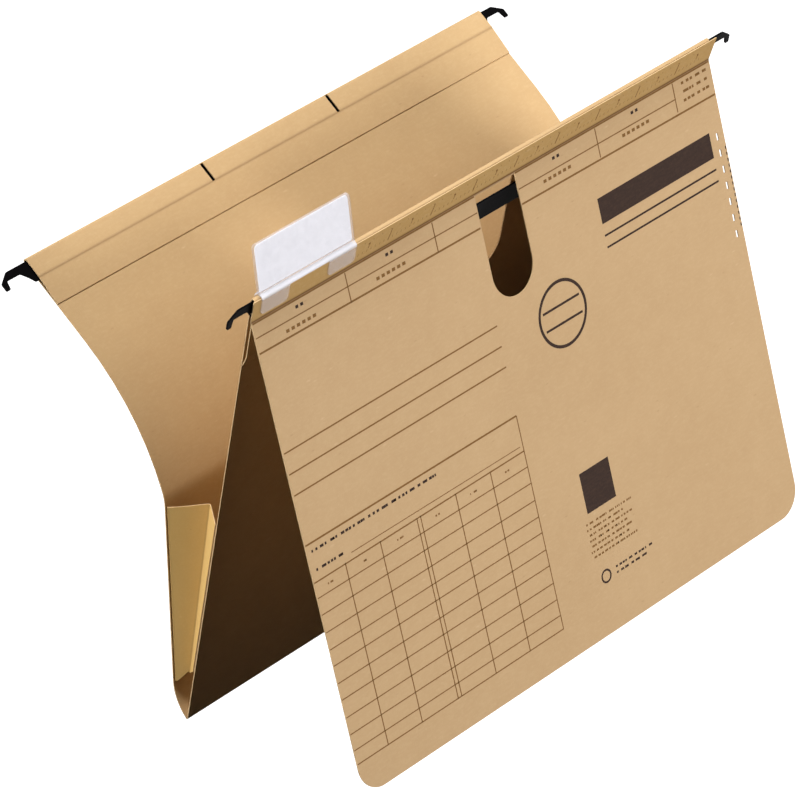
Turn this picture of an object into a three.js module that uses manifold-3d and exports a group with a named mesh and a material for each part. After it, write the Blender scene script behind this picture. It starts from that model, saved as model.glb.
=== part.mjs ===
// A hanging pocket file folder for A4 papers, in buff kraft board on two black steel rails.
// It is held open as it hangs: seen from its end the board runs like the letter N, from the
// rear rail down the bowed back panel to the bottom fold, up the front wall to the front
// rail, and down again as the cover. Millimetres, +Z up, rails along X, cover towards -Y.

import * as THREE from 'three';
import { mergeVertices } from 'three/addons/utils/BufferGeometryUtils.js';
import Module from 'manifold-3d';

// Board
const boardThickness = 0.5;
const pocketWidth = 317;
const coverWidth = 320;
const glueGap = 0.3;
const sleeveGap = 1.6;
const foldClearance = 1.0;
const creaseClearance = 0.6;
const hingeClearance = 1.1;

// Back panel, from its rolled top down to the bottom fold
const backLean = 38.7;
const backStraight = 48.5;
const backBowRadius = 127.5;
const backBowTurn = 35.7;
const backKneeRadius = 25;
const backKneeTurn = 18;
const backLower = 98.5;
const backFootRadius = 25.5;
const backFootTurn = 45;
const rearHem = 26.3;
const slitLength = 11;
const slitWidth = 1.2;
const slitFromLeft = 117;
const slitSpacing = 87.5;

// Front wall, from the bottom fold up to its rolled top
const wallLean = 26.8;
const wallLength = 248.5;
const scaleHeight = 10.5;
const frontHem = 27;

// Cover and the glued strip that carries it
const coverHeight = 240;
const coverCorner = 14;
const stripTaper = 3;
const stripTopClearance = 1.0;
const fingerWidth = 28;
const fingerDepth = 56.5;
const fingerFromMiddle = 3.8;
const hemWindowExtra = 12;
const wallHoleExtra = 3;
const punchCount = 7;
const punchPitch = 8.5;
const punchLength = 3.8;
const punchWidth = 1.3;
const punchFromEdge = 4.8;
const punchFromTop = 36.7;

// Rails
const railThickness = 1.0;
const railLength = 350.5;
const rearRailShift = -2.2;
const frontRailShift = 1.1;
const webHeight = 11;
const riserInset = 3;
const railTop = 1.2;
const frontWebDrop = 10;
const riserWidth = 12;
const neckReach = 4.7;
const hookArm = 4.2;
const hookChamfer = 6;
const hookDrop = 9.7;
const hookTipWidth = 2.6;
const hookMouth = 9.6;
const hookThroatSlope = 3;

// Gussets between the back panel and the front wall
const gussetBoard = 0.4;
const gussetLeaf = 19.4;
const gussetTopFromKnee = 0;
const gussetLength = 98;
const gussetFrontTop = 125.6;
const gussetFrontBottom = 219;
const gussetFlap = 12;
const gussetInset = 0.8;
const creaseLift = 0.2;
const middleClearance = 1.1;
const openPivotGap = 0.4;

// Clear tab holder and its card
const tabLength = 62;
const tabHeight = 25.5;
const tabLean = 9;
const tabWall = 0.6;
const tabSlot = 0.9;
const tabCorner = 2.4;
const tabFromLeft = 3.2;
const tabFootWidth = 18;
const tabFootDrop = 9;
const cardThickness = 0.3;
const cardInset = 1.2;

const arcStep = THREE.MathUtils.degToRad(6);
const leastArcSteps = 2;
const cornerSegments = 8;
const overcut = 5;

const kraft = { color: 0xc8a880, roughness: 0.85, metalness: 0 };
const kraftInside = { color: 0xd0b284, roughness: 0.85, metalness: 0 };
const blackSteel = { color: 0x161618, roughness: 0.35, metalness: 0.6 };
const clearPlastic = { color: 0xe8ecee, roughness: 0.15, metalness: 0, transparent: true, opacity: 0.4 };
const whiteCard = { color: 0xf4f4f8, roughness: 0.7, metalness: 0 };

const wasm = await Module();
wasm.setup();

const folder = new THREE.Group();

const rad = THREE.MathUtils.degToRad;

function unit(heading) {
  return new THREE.Vector2(Math.cos(heading), Math.sin(heading));
}

// A point on a line in the side view: out along the heading, then off to its left.
function offsetPoint(point, heading, along, left) {
  const way = unit(heading);
  return new THREE.Vector2(
    point.x + way.x * along - way.y * left,
    point.y + way.y * along + way.x * left,
  );
}

function arcSteps(turn) {
  return Math.max(leastArcSteps, Math.ceil(Math.abs(turn) / arcStep));
}

// Walks a board's middle line in the side view. Each move is a straight run or a turn on a
// radius, left turns positive, and the walk gives every point with its heading.
function walk(start, startHeading, moves) {
  const stations = [{ point: start.clone(), heading: startHeading }];
  let here = stations[0];
  for (const move of moves) {
    if (move.run !== undefined) {
      here = { point: offsetPoint(here.point, here.heading, move.run, 0), heading: here.heading };
      stations.push(here);
      continue;
    }
    const side = Math.sign(move.turn);
    const steps = arcSteps(move.turn);
    const centre = offsetPoint(here.point, here.heading, 0, side * move.radius);
    const from = here.heading;
    for (let i = 1; i <= steps; i += 1) {
      const heading = from + (move.turn * i) / steps;
      here = { point: offsetPoint(centre, heading, 0, -side * move.radius), heading };
      stations.push(here);
    }
  }
  return stations;
}

// The closed outline of a board of the given thickness around a walked middle line.
function boardOutline(stations, thickness) {
  const left = stations.map((s) => offsetPoint(s.point, s.heading, 0, thickness / 2));
  const right = stations.map((s) => offsetPoint(s.point, s.heading, 0, -thickness / 2));
  return new THREE.Shape([...right, ...left.reverse()]);
}

// Extrudes a side view outline along X, from x = left to x = right.
function alongX(shape, left, right) {
  const geometry = new THREE.ExtrudeGeometry(shape, {
    depth: right - left,
    bevelEnabled: false,
    curveSegments: cornerSegments,
  });
  const turn = new THREE.Matrix4().makeBasis(
    new THREE.Vector3(0, 1, 0),
    new THREE.Vector3(0, 0, 1),
    new THREE.Vector3(1, 0, 0),
  );
  turn.setPosition(left, 0, 0);
  return geometry.applyMatrix4(turn);
}

// A flat sheet or plate drawn in its own plane: drawing x runs along X, drawing y runs along
// the heading in the side view, and the thickness is centred on the plane through origin.
function flatSheet(shape, thickness, origin, heading) {
  const geometry = new THREE.ExtrudeGeometry(shape, {
    depth: thickness,
    bevelEnabled: false,
    curveSegments: cornerSegments,
  });
  geometry.translate(0, 0, -thickness / 2);
  const up = unit(heading);
  const turn = new THREE.Matrix4().makeBasis(
    new THREE.Vector3(1, 0, 0),
    new THREE.Vector3(0, up.x, up.y),
    new THREE.Vector3(0, -up.y, up.x),
  );
  turn.setPosition(0, origin.x, origin.y);
  return geometry.applyMatrix4(turn);
}

// A closed geometry as a solid that can be joined and cut.
function solid(geometry) {
  const bare = new THREE.BufferGeometry();
  bare.setAttribute('position', geometry.getAttribute('position').clone());
  if (geometry.index) bare.setIndex(geometry.index.clone());
  const merged = mergeVertices(bare, 1e-4);
  return new wasm.Manifold(new wasm.Mesh({
    numProp: 3,
    vertProperties: new Float32Array(merged.getAttribute('position').array),
    triVerts: new Uint32Array(merged.index.array),
  }));
}

function geometryOf(body) {
  const mesh = body.getMesh();
  const geometry = new THREE.BufferGeometry();
  geometry.setAttribute('position', new THREE.BufferAttribute(mesh.vertProperties, 3));
  geometry.setIndex(new THREE.BufferAttribute(mesh.triVerts, 1));
  geometry.computeVertexNormals();
  return geometry;
}

function addPiece(name, geometry, finish) {
  const mesh = new THREE.Mesh(geometry, new THREE.MeshStandardMaterial(finish));
  mesh.name = name;
  folder.add(mesh);
  return mesh;
}

// Back panel: the hem on the pocket side runs up, rolls over the rear rail, and the panel
// runs down behind it, bows towards the pocket, bends at the knee where the gussets start
// and curls under to the bottom fold. The rear crest, at the top of the roll, is at 0, 0.
const rollRadius = (sleeveGap + boardThickness) / 2;
const rearUp = rad(90 - backLean);
const rearDown = rearUp - Math.PI;
const rollTop = rollRadius + boardThickness / 2;
const rearRollCentre = offsetPoint(new THREE.Vector2(0, 0), rearUp, -rollTop, 0);
const rearHemStart = offsetPoint(rearRollCentre, rearUp, rollTop - rearHem, rollRadius);
const kneeHeading = rearDown + rad(backBowTurn) + rad(backKneeTurn);
const backWalk = walk(rearHemStart, rearUp, [
  { run: rearHem - rollTop },
  { turn: -Math.PI, radius: rollRadius },
  { run: backStraight - rollTop },
  { turn: rad(backBowTurn), radius: backBowRadius },
  { turn: rad(backKneeTurn), radius: backKneeRadius },
  { run: backLower },
  { turn: -rad(backFootTurn), radius: backFootRadius },
]);
const backFoot = backWalk[backWalk.length - 1];
const lowerEnd = backWalk[backWalk.length - 1 - arcSteps(rad(backFootTurn))];
const knee = offsetPoint(lowerEnd.point, kneeHeading, -backLower, 0);

// The bottom fold's own line, on which the front wall turns.
const bottomFold = offsetPoint(backFoot.point, backFoot.heading, foldClearance, 0);

const slitTool = new THREE.Shape()
  .moveTo(-slitWidth / 2, -slitLength)
  .lineTo(slitWidth / 2, -slitLength)
  .lineTo(slitWidth / 2, 0)
  .lineTo(-slitWidth / 2, 0);
let backPanel = solid(alongX(boardOutline(backWalk, boardThickness), -pocketWidth / 2, pocketWidth / 2));
for (const number of [0, 1]) {
  const x = -pocketWidth / 2 + slitFromLeft + number * slitSpacing;
  const tool = flatSheet(slitTool, boardThickness + sleeveGap / 2, new THREE.Vector2(0, 0), rearUp);
  const way = unit(rearUp);
  tool.translate(x, -way.y * rollRadius - way.x * rollTop, way.x * rollRadius - way.y * rollTop);
  backPanel = backPanel.subtract(solid(tool));
}
addPiece('back_panel', geometryOf(backPanel), kraftInside);

// Front wall: one sheet up the pocket side, rolled over at the top, and down the front side
// as the hem that holds the rail in the sleeve. Fold line, at the cover's crease, is s = 0.
const wallUp = rad(90 + wallLean);
const wallStart = offsetPoint(bottomFold, wallUp, foldClearance, 0);
const wallTop = wallLength + scaleHeight;
const frontWalk = walk(wallStart, wallUp, [
  { run: wallTop - foldClearance },
  { turn: Math.PI, radius: rollRadius },
  { run: scaleHeight + frontHem },
]);
const hemOffset = 2 * rollRadius;
const stripOffset = hemOffset + boardThickness + glueGap;
const wallAtFold = offsetPoint(bottomFold, wallUp, wallLength, 0);
const hemAtFold = offsetPoint(wallAtFold, wallUp, 0, hemOffset);
const coverFold = offsetPoint(wallAtFold, wallUp, 0, stripOffset);
const railAtFold = offsetPoint(wallAtFold, wallUp, 0, rollRadius);

// The finger hole: straight sides and a round end, from the fold line down.
function fingerShape(extraLeft, extraRight, top) {
  const left = fingerFromMiddle - fingerWidth / 2 - extraLeft;
  const right = fingerFromMiddle + fingerWidth / 2 + extraRight;
  const radius = (right - left) / 2;
  const middle = (left + right) / 2;
  return new THREE.Shape()
    .moveTo(left, top)
    .lineTo(left, radius - fingerDepth)
    .absarc(middle, radius - fingerDepth, radius, Math.PI, 2 * Math.PI, false)
    .lineTo(right, top);
}
const wallHole = flatSheet(
  fingerShape(0, wallHoleExtra, 0),
  sleeveGap / 2 + boardThickness,
  wallAtFold,
  wallUp,
);
const hemWindow = flatSheet(
  fingerShape(hemWindowExtra / 3, hemWindowExtra, 0),
  sleeveGap / 2 + boardThickness,
  hemAtFold,
  wallUp,
);
const frontWall = solid(alongX(boardOutline(frontWalk, boardThickness), -pocketWidth / 2, pocketWidth / 2))
  .subtract(solid(wallHole))
  .subtract(solid(hemWindow));
addPiece('front_wall', geometryOf(frontWall), kraft);

// Rails: each is one stamped steel strip lying loose in its sleeve, its ends drawn out into
// hooks. Drawn with y up the board and y = 0 at the crest. The front rail's web lies lower,
// across the finger hole, and steps up to its hooks on a riser at each end.
function hookOutline(side, shift, webTop) {
  const tip = railLength / 2 + side * shift;
  const mouthEnd = tip - hookTipWidth;
  const mouthStart = mouthEnd - hookMouth;
  const neck = mouthStart - neckReach;
  const seat = -railTop - hookArm;
  const bottom = -railTop - webHeight;
  const riserEnd = neck - riserInset;
  const inner = riserEnd - riserWidth;
  const points = [[inner, -webTop - webHeight]];
  if (webTop > railTop) points.push([riserEnd, -webTop - webHeight], [riserEnd, bottom]);
  points.push(
    [neck, bottom],
    [mouthStart - hookThroatSlope, bottom + hookThroatSlope],
    [mouthStart, seat],
    [mouthEnd - hookThroatSlope / 3, seat],
    [mouthEnd, -hookDrop],
    [tip, -hookDrop],
    [tip, seat],
    [tip - hookChamfer, -railTop],
    [inner, -railTop],
  );
  if (webTop > railTop) points.push([inner, -webTop]);
  return points.map(([x, y]) => new THREE.Vector2(side * x, y));
}
function railShape(shift, webTop) {
  const right = hookOutline(1, shift, webTop);
  const left = hookOutline(-1, shift, webTop).reverse();
  return new THREE.Shape([...right, ...left]);
}
const rearRailCentre = offsetPoint(rearRollCentre, rearUp, rollTop, 0);
const frontRailCentre = offsetPoint(railAtFold, wallUp, scaleHeight + rollTop, 0);
const frontWebTop = scaleHeight + rollTop + frontWebDrop;
const rearRailShape = railShape(rearRailShift, railTop);
const frontRailShape = railShape(frontRailShift, frontWebTop);
addPiece('rear_rail', flatSheet(rearRailShape, railThickness, rearRailCentre, rearUp), blackSteel);
addPiece('front_rail', flatSheet(frontRailShape, railThickness, frontRailCentre, wallUp), blackSteel);

// Cover strip: the cover sheet's glued top edge, on the front of the wall above the fold
// line. It carries the printed scale, and its right end is cut on the slant.
const stripTop = scaleHeight - stripTopClearance;
const stripBottom = creaseClearance;
const stripShape = new THREE.Shape()
  .moveTo(-coverWidth / 2, stripBottom)
  .lineTo(coverWidth / 2, stripBottom)
  .lineTo(coverWidth / 2 + stripTaper, stripTop)
  .lineTo(-coverWidth / 2, stripTop);
addPiece('cover_strip', flatSheet(stripShape, boardThickness, coverFold, wallUp), kraft);

// Cover: hangs straight down from the fold line, with round lower corners, the finger hole
// open to the fold line, and a column of punched slots beside its right edge.
const plumb = rad(90);
const half = coverWidth / 2;
const hole = { left: fingerFromMiddle - fingerWidth / 2, right: fingerFromMiddle + fingerWidth / 2 };
const holeRadius = fingerWidth / 2;
const coverShape = new THREE.Shape()
  .moveTo(-half, -hingeClearance)
  .lineTo(-half, coverCorner - coverHeight)
  .absarc(coverCorner - half, coverCorner - coverHeight, coverCorner, Math.PI, 1.5 * Math.PI, false)
  .lineTo(half - coverCorner, -coverHeight)
  .absarc(half - coverCorner, coverCorner - coverHeight, coverCorner, 1.5 * Math.PI, 2 * Math.PI, false)
  .lineTo(half, -hingeClearance)
  .lineTo(hole.right, -hingeClearance)
  .lineTo(hole.right, holeRadius - fingerDepth)
  .absarc(fingerFromMiddle, holeRadius - fingerDepth, holeRadius, 0, -Math.PI, true)
  .lineTo(hole.left, -hingeClearance);
for (let i = 0; i < punchCount; i += 1) {
  const y = -punchFromTop - i * punchPitch;
  const right = half - punchFromEdge + punchWidth / 2;
  const left = right - punchWidth;
  coverShape.holes.push(new THREE.Path()
    .moveTo(left, y)
    .lineTo(right, y)
    .lineTo(right, y - punchLength)
    .lineTo(left, y - punchLength));
}
addPiece('cover', flatSheet(coverShape, boardThickness, coverFold, plumb), kraft);

// Gussets: on each side a strip folded once down its middle, pushed into the pocket, its
// edges turned in as glue flaps on the back panel and on the front wall. Its creases run
// towards one point below the fold, where the lines of the two flaps meet.
const flapOffset = (boardThickness + gussetBoard) / 2 + glueGap;
const flapToLeaf = gussetBoard + creaseLift;
const leafOffset = flapOffset + flapToLeaf;
const rearLine = { point: offsetPoint(knee, kneeHeading, 0, -leafOffset), heading: kneeHeading };
const frontLine = { point: offsetPoint(wallAtFold, wallUp, 0, -leafOffset), heading: wallUp + Math.PI };

function meetingPoint(a, b) {
  const wayA = unit(a.heading);
  const wayB = unit(b.heading);
  const dx = b.point.x - a.point.x;
  const dy = b.point.y - a.point.y;
  const along = (dx * wayB.y - dy * wayB.x) / (wayA.x * wayB.y - wayA.y * wayB.x);
  return offsetPoint(a.point, a.heading, along, 0);
}
const apex = meetingPoint(rearLine, frontLine);

function directionFromApex(heading) {
  const way = unit(heading + Math.PI);
  return new THREE.Vector3(0, way.x, way.y);
}
const rearCrease = directionFromApex(rearLine.heading);
const frontCrease = directionFromApex(frontLine.heading);
const rearTop = apex.distanceTo(offsetPoint(rearLine.point, rearLine.heading, gussetTopFromKnee, 0));
const rearBottom = rearTop - gussetLength;
const frontTop = apex.distanceTo(frontLine.point) - gussetFrontTop;
const frontBottom = apex.distanceTo(frontLine.point) - gussetFrontBottom;
const leafAngle = 2 * Math.asin(gussetLeaf / 2 / rearTop);
const spread = rearCrease.angleTo(frontCrease) / 2;
const pushIn = Math.acos(Math.cos(leafAngle) / Math.cos(spread));
const middleWay = rearCrease.clone().add(frontCrease).normalize();

// A flat leaf between two creases that both run out of the apex, trimmed back from each.
// Its four corners are given as distances from the apex along the creases.
function leafGeometry(first, second, corners, trimFirst, trimSecond) {
  const normal = first.clone().cross(second).normalize();
  const across = normal.clone().cross(first);
  const angle = first.angleTo(second);
  const corner = (way, distance, trim) => new THREE.Vector2(
    distance * Math.cos(way) + trim * Math.sin(way),
    distance * Math.sin(way) - trim * Math.cos(way),
  );
  const shape = new THREE.Shape([
    corner(0, corners.firstBottom, 0).add(new THREE.Vector2(0, trimFirst)),
    corner(angle, corners.secondBottom, trimSecond),
    corner(angle, corners.secondTop, trimSecond),
    corner(0, corners.firstTop, 0).add(new THREE.Vector2(0, trimFirst)),
  ]);
  const geometry = new THREE.ExtrudeGeometry(shape, { depth: gussetBoard, bevelEnabled: false });
  geometry.translate(0, 0, -gussetBoard / 2);
  return geometry.applyMatrix4(new THREE.Matrix4().makeBasis(first, across, normal));
}

const middleTop = (rearTop + frontTop) / 2;
const middleBottom = (rearBottom + frontBottom) / 2;
for (const side of [-1, 1]) {
  const name = side < 0 ? 'left' : 'right';
  const edge = side * (pocketWidth / 2 - gussetInset);
  const middleCrease = middleWay.clone().multiplyScalar(Math.cos(pushIn));
  middleCrease.x = -side * Math.sin(pushIn);
  const place = new THREE.Group();
  place.position.set(edge, apex.x, apex.y);
  folder.add(place);

  const rearLeaf = leafGeometry(
    rearCrease,
    middleCrease,
    { firstBottom: rearBottom, firstTop: rearTop, secondBottom: middleBottom, secondTop: middleTop },
    creaseClearance,
    middleClearance,
  );
  const frontLeaf = leafGeometry(
    middleCrease,
    frontCrease,
    { firstBottom: middleBottom, firstTop: middleTop, secondBottom: frontBottom, secondTop: frontTop },
    middleClearance,
    openPivotGap,
  );
  for (const [part, geometry] of [['rear', rearLeaf], ['front', frontLeaf]]) {
    const mesh = new THREE.Mesh(geometry, new THREE.MeshStandardMaterial(kraftInside));
    mesh.name = `${name}_gusset_${part}_leaf`;
    place.add(mesh);
  }

  const inward = -side;
  const flapStart = edge + inward * creaseClearance;
  const flapEnd = flapStart + inward * gussetFlap;
  const flapShape = (top, bottom) => new THREE.Shape([
    new THREE.Vector2(flapStart, bottom),
    new THREE.Vector2(flapEnd, bottom + gussetFlap / 2),
    new THREE.Vector2(flapEnd, top - gussetFlap / 2),
    new THREE.Vector2(flapStart, top),
  ]);
  addPiece(
    `${name}_gusset_rear_flap`,
    flatSheet(
      flapShape(rearTop, rearBottom),
      gussetBoard,
      offsetPoint(apex, rearLine.heading, 0, flapToLeaf),
      rearLine.heading + Math.PI,
    ),
    kraftInside,
  );
  addPiece(
    `${name}_gusset_front_flap`,
    flatSheet(
      flapShape(frontTop, frontBottom),
      gussetBoard,
      offsetPoint(apex, frontLine.heading, 0, -flapToLeaf),
      frontLine.heading + Math.PI,
    ),
    kraftInside,
  );
}

// Tab holder: a clear sleeve for the card, open at both ends, standing on a saddle that
// clips over the front wall's rolled top with two feet on each side and slides along it.
// Its whole section is drawn once, then the space between the feet is cut away.
const tabUp = rad(90 + tabLean);
const tabLeft = -pocketWidth / 2 + tabFromLeft;
const tabRight = tabLeft + tabLength;
const crestTop = scaleHeight + rollTop;
const saddleBottom = crestTop + glueGap;
const saddleTop = saddleBottom + tabWall;
const footFront = stripOffset + boardThickness / 2 + glueGap;
const footBack = -boardThickness / 2 - glueGap;
const footBottom = crestTop - tabFootDrop;
const tabHalf = tabSlot / 2 + tabWall;
const tabBase = offsetPoint(wallAtFold, wallUp, saddleTop - tabWall / 2, (footFront + footBack) / 2);
const saddleLine = { point: offsetPoint(wallAtFold, wallUp, saddleTop, 0), heading: wallUp + Math.PI / 2 };
function onWall(up, out) {
  return offsetPoint(wallAtFold, wallUp, up, out);
}
function onTab(up, out) {
  return offsetPoint(tabBase, tabUp, up, out);
}
function tabFaceAtSaddle(out) {
  return meetingPoint({ point: onTab(0, out), heading: tabUp }, saddleLine);
}
const tabSection = new THREE.Shape([
  onWall(footBottom, footFront + tabWall),
  onWall(footBottom, footFront),
  onWall(saddleBottom, footFront),
  onWall(saddleBottom, footBack),
  onWall(footBottom, footBack),
  onWall(footBottom, footBack - tabWall),
  onWall(saddleTop, footBack - tabWall),
  tabFaceAtSaddle(-tabHalf),
  onTab(tabHeight, -tabHalf),
  onTab(tabHeight, tabHalf),
  tabFaceAtSaddle(tabHalf),
  onWall(saddleTop, footFront + tabWall),
]);
tabSection.holes.push(new THREE.Path([
  onTab(2 * tabWall, -tabSlot / 2),
  onTab(tabHeight - tabWall, -tabSlot / 2),
  onTab(tabHeight - tabWall, tabSlot / 2),
  onTab(2 * tabWall, tabSlot / 2),
]));
const tabOutline = new THREE.Shape()
  .moveTo(tabLeft, -overcut - tabFootDrop)
  .lineTo(tabRight, -overcut - tabFootDrop)
  .lineTo(tabRight, tabHeight - tabCorner)
  .absarc(tabRight - tabCorner, tabHeight - tabCorner, tabCorner, 0, Math.PI / 2, false)
  .lineTo(tabLeft + tabCorner, tabHeight)
  .absarc(tabLeft + tabCorner, tabHeight - tabCorner, tabCorner, Math.PI / 2, Math.PI, false);
const lipBottom = saddleBottom - tabWall / 2;
const betweenFeet = new THREE.Shape([
  onWall(footBottom - overcut, footFront + tabWall + overcut),
  onWall(footBottom - overcut, footBack - tabWall - overcut),
  onWall(lipBottom, footBack - tabWall - overcut),
  onWall(lipBottom, footFront + tabWall + overcut),
]);
const tabHolder = solid(alongX(tabSection, tabLeft - overcut, tabRight + overcut))
  .intersect(solid(flatSheet(tabOutline, 4 * overcut, tabBase, tabUp)))
  .subtract(solid(alongX(betweenFeet, tabLeft + tabFootWidth, tabRight - tabFootWidth)));
addPiece('tab_holder', geometryOf(tabHolder), clearPlastic);

// Label card: slides in and out of the holder at its ends.
const cardHeight = tabHeight - 3 * tabWall - 2 * glueGap;
const cardBase = offsetPoint(tabBase, tabUp, 2 * tabWall + glueGap, 0);
const cardShape = new THREE.Shape()
  .moveTo(tabLeft + cardInset, 0)
  .lineTo(tabRight - cardInset, 0)
  .lineTo(tabRight - cardInset, cardHeight - tabCorner)
  .absarc(tabRight - cardInset - tabCorner, cardHeight - tabCorner, tabCorner, 0, Math.PI / 2, false)
  .lineTo(tabLeft + cardInset + tabCorner, cardHeight)
  .absarc(tabLeft + cardInset + tabCorner, cardHeight - tabCorner, tabCorner, Math.PI / 2, Math.PI, false);
addPiece('label_card', flatSheet(cardShape, cardThickness, cardBase, tabUp), whiteCard);

// The origin is on the rear rail's hanging line: the middle of the strip's thickness, at
// the height of the hook seats, half way along the board.
const seatDrop = railTop + hookArm;
const hangingLine = offsetPoint(rearRailCentre, rearUp, -seatDrop, 0);
folder.position.set(0, -hangingLine.x, -hangingLine.y);

export default folder;
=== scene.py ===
"""A hanging pocket file folder in buff kraft board, held open on its two black steel rails."""

import math

import bpy
import numpy as np
from mathutils import Matrix, Vector


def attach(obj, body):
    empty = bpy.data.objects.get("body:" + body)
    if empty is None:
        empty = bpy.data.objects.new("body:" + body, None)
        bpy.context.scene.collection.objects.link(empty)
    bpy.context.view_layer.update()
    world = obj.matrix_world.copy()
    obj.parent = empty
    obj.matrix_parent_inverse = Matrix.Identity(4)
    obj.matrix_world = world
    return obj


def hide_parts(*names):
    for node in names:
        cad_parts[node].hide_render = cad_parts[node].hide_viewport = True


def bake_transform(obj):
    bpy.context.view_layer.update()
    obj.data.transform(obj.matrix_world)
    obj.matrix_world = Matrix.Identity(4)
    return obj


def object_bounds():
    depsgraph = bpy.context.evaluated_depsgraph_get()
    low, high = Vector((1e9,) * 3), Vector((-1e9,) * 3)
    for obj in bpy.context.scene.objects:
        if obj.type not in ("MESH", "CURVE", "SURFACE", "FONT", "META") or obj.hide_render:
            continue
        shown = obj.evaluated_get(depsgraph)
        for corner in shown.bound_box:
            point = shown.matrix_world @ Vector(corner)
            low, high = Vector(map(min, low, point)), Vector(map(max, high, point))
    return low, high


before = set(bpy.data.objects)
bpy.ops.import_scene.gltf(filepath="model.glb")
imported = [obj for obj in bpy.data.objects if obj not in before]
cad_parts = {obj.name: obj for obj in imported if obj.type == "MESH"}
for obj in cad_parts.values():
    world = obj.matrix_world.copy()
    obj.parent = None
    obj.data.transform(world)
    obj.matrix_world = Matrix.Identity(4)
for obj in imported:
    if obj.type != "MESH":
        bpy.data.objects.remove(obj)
cad_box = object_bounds()

# Camera, floor and studio light. The folder hangs clear of a plain pale floor. One big soft
# lamp stands in front on the right, one on the left behind the folder, and two hang over it.

camera_place = Vector((-1.66925, -1.91703, 0.85589))
camera_azimuth, camera_elevation, camera_roll = np.radians([-41.833, 21.526, 12.976])
camera_focal_pixels = 5574.2
picture_pixels = 800
sensor_width = 36.0
floor_drop = 0.30
floor_reach = 2.6
lamp_target = Vector((0, -0.07, -0.1))


def add_object(name, data):
    holder = bpy.data.objects.new(name, data)
    bpy.context.scene.collection.objects.link(holder)
    return holder


look = Vector((
    -math.sin(camera_azimuth) * math.cos(camera_elevation),
    math.cos(camera_azimuth) * math.cos(camera_elevation),
    -math.sin(camera_elevation),
))
level_right = look.cross(Vector((0, 0, 1))).normalized()
level_up = level_right.cross(look)
right = level_right * math.cos(camera_roll) - level_up * math.sin(camera_roll)
up = level_up * math.cos(camera_roll) + level_right * math.sin(camera_roll)
camera = add_object("camera", bpy.data.cameras.new("camera"))
camera.data.sensor_width = sensor_width
camera.data.lens = camera_focal_pixels * sensor_width / picture_pixels
camera_turn = Matrix((right, up, -look)).transposed().to_4x4()
camera.matrix_world = Matrix.Translation(camera_place) @ camera_turn
bpy.context.scene.camera = camera
bpy.context.scene.view_settings.view_transform = "Standard"


def add_node(tree, kind, inputs=None, **settings):
    """Puts a node in the tree. Each input is a value, or another node's output to link from."""
    node = tree.nodes.new("ShaderNode" + kind)
    for name, value in settings.items():
        setattr(node, name, value)
    for name, value in (inputs or {}).items():
        if isinstance(value, bpy.types.NodeSocket):
            tree.links.new(value, node.inputs[name])
        else:
            node.inputs[name].default_value = value
    return node


def calculate(tree, operation, *values):
    """One step of arithmetic on values or outputs."""
    return add_node(tree, "Math", dict(enumerate(values)), operation=operation).outputs[0]


def spread(tree, value, low, high, to_low, to_high):
    """A value's span from low to high laid over the span to_low to to_high, held at its ends."""
    return add_node(tree, "MapRange", {
        "Value": value, "From Min": low, "From Max": high, "To Min": to_low, "To Max": to_high,
    }).outputs[0]


def blend_colour(tree, factor, first, second):
    """A mix of two colours, each a value or an output to link from."""
    mix = {"Factor": factor, "A": first, "B": second}
    return add_node(tree, "Mix", mix, data_type="RGBA").outputs["Result"]


def seen_directly(tree):
    """1 for rays from the camera, from gloss and through clear plastic, and 0 for the rest."""
    path = add_node(tree, "LightPath").outputs
    mirrored = calculate(tree, "MAXIMUM", path["Is Glossy Ray"], path["Is Transmission Ray"])
    return calculate(tree, "MAXIMUM", path["Is Camera Ray"], mirrored)


def fresh_material(name):
    material = bpy.data.materials.new(name)
    material.use_nodes = True
    material.node_tree.nodes.clear()
    return material, material.node_tree


def lattice(rows, columns, dropped=None):
    """The quads of a lattice of points. dropped marks the quads that are cut out of it."""
    index = np.arange(rows * columns).reshape(rows, columns)
    quads = np.stack([index[:-1, :-1], index[:-1, 1:], index[1:, 1:], index[1:, :-1]], -1)
    return quads.reshape(-1, 4) if dropped is None else quads[~dropped]


def make_floor():
    """A flat round floor below the folder: white to the camera, and nearly black to bounced
    light. Its own glow rises outward, where the lamps reach it less."""
    rings, spokes = np.meshgrid(np.linspace(0.02, floor_reach, 12), np.linspace(0, 2 * np.pi, 49))
    height = float(cad_box[0].z) - floor_drop
    points = np.stack([
        rings * np.cos(spokes), rings * np.sin(spokes), np.full(rings.shape, height)], -1)
    mesh = bpy.data.meshes.new("floor")
    mesh.from_pydata(points.reshape(-1, 3).tolist(), [], lattice(*rings.shape).tolist())
    floor = add_object("floor", mesh)
    material, tree = fresh_material("floor_white")
    seen = seen_directly(tree)
    tone = blend_colour(tree, seen, (0.015, 0.015, 0.015, 1), (0.86, 0.86, 0.86, 1))
    matt = add_node(tree, "BsdfDiffuse", {"Color": tone})
    where = add_node(tree, "TexCoord").outputs["Object"]
    away = add_node(tree, "VectorMath", {0: where, 1: (1, 1, 0)}, operation="MULTIPLY").outputs[0]
    away = add_node(tree, "VectorMath", {0: away}, operation="LENGTH").outputs["Value"]
    rise = spread(tree, away, 0.5, 1.6, 0.45, 1.0)
    lift = add_node(tree, "Emission", {"Strength": calculate(tree, "MULTIPLY", seen, rise)})
    both = add_node(tree, "AddShader", {0: matt.outputs[0], 1: lift.outputs[0]})
    add_node(tree, "OutputMaterial", {"Surface": both.outputs[0]})
    mesh.materials.append(material)


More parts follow.
